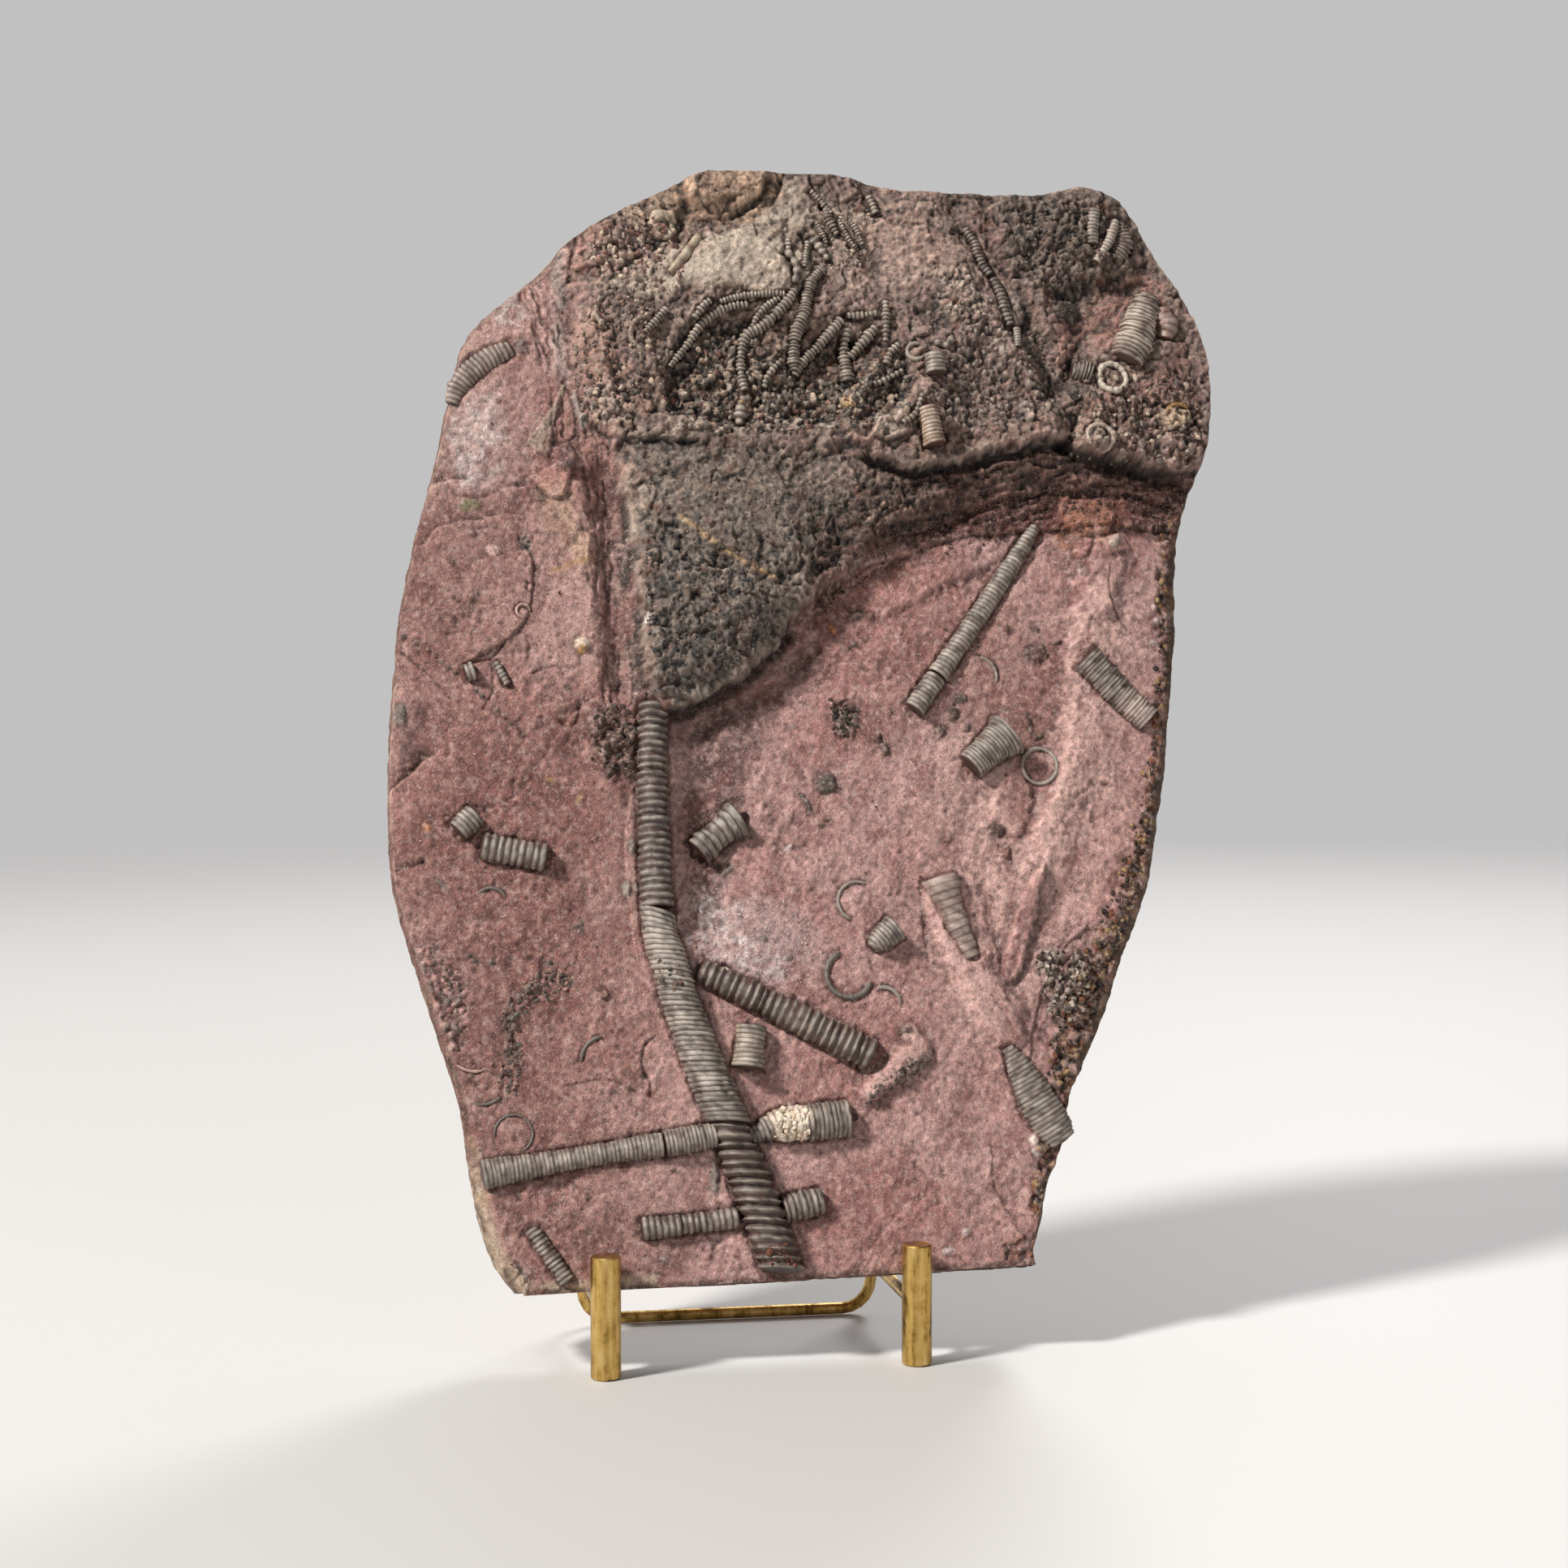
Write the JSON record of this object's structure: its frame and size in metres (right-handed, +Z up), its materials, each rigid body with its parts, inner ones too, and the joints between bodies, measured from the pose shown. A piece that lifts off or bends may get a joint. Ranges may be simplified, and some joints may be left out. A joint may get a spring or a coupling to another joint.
{
  "type": "crinoid fossil slab on a display stand",
  "caption": "Upright slab of red limestone with a crinoid crown, its long ringed stem and loose stem pieces in relief, leaning on a brass easel stand.",
  "frame": {"origin": "on the floor under the middle of the whole object", "axes": "+Z up, +Y to the back of the slab, +X to the right of someone who faces the slab"},
  "size_m": [0.2836, 0.1173, 0.3902],
  "materials": {
    "red_limestone": "rough broken rock, pinkish red with grey fossils",
    "aged_brass": "polished once, now stained and dull in patches"
  },
  "bodies": {
    "root": {"fossil_slab": "red_limestone", "left_post": "aged_brass", "right_post": "aged_brass", "left_arm": "aged_brass", "right_arm": "aged_brass", "back_frame": "aged_brass"}
  },
  "joints": []
}
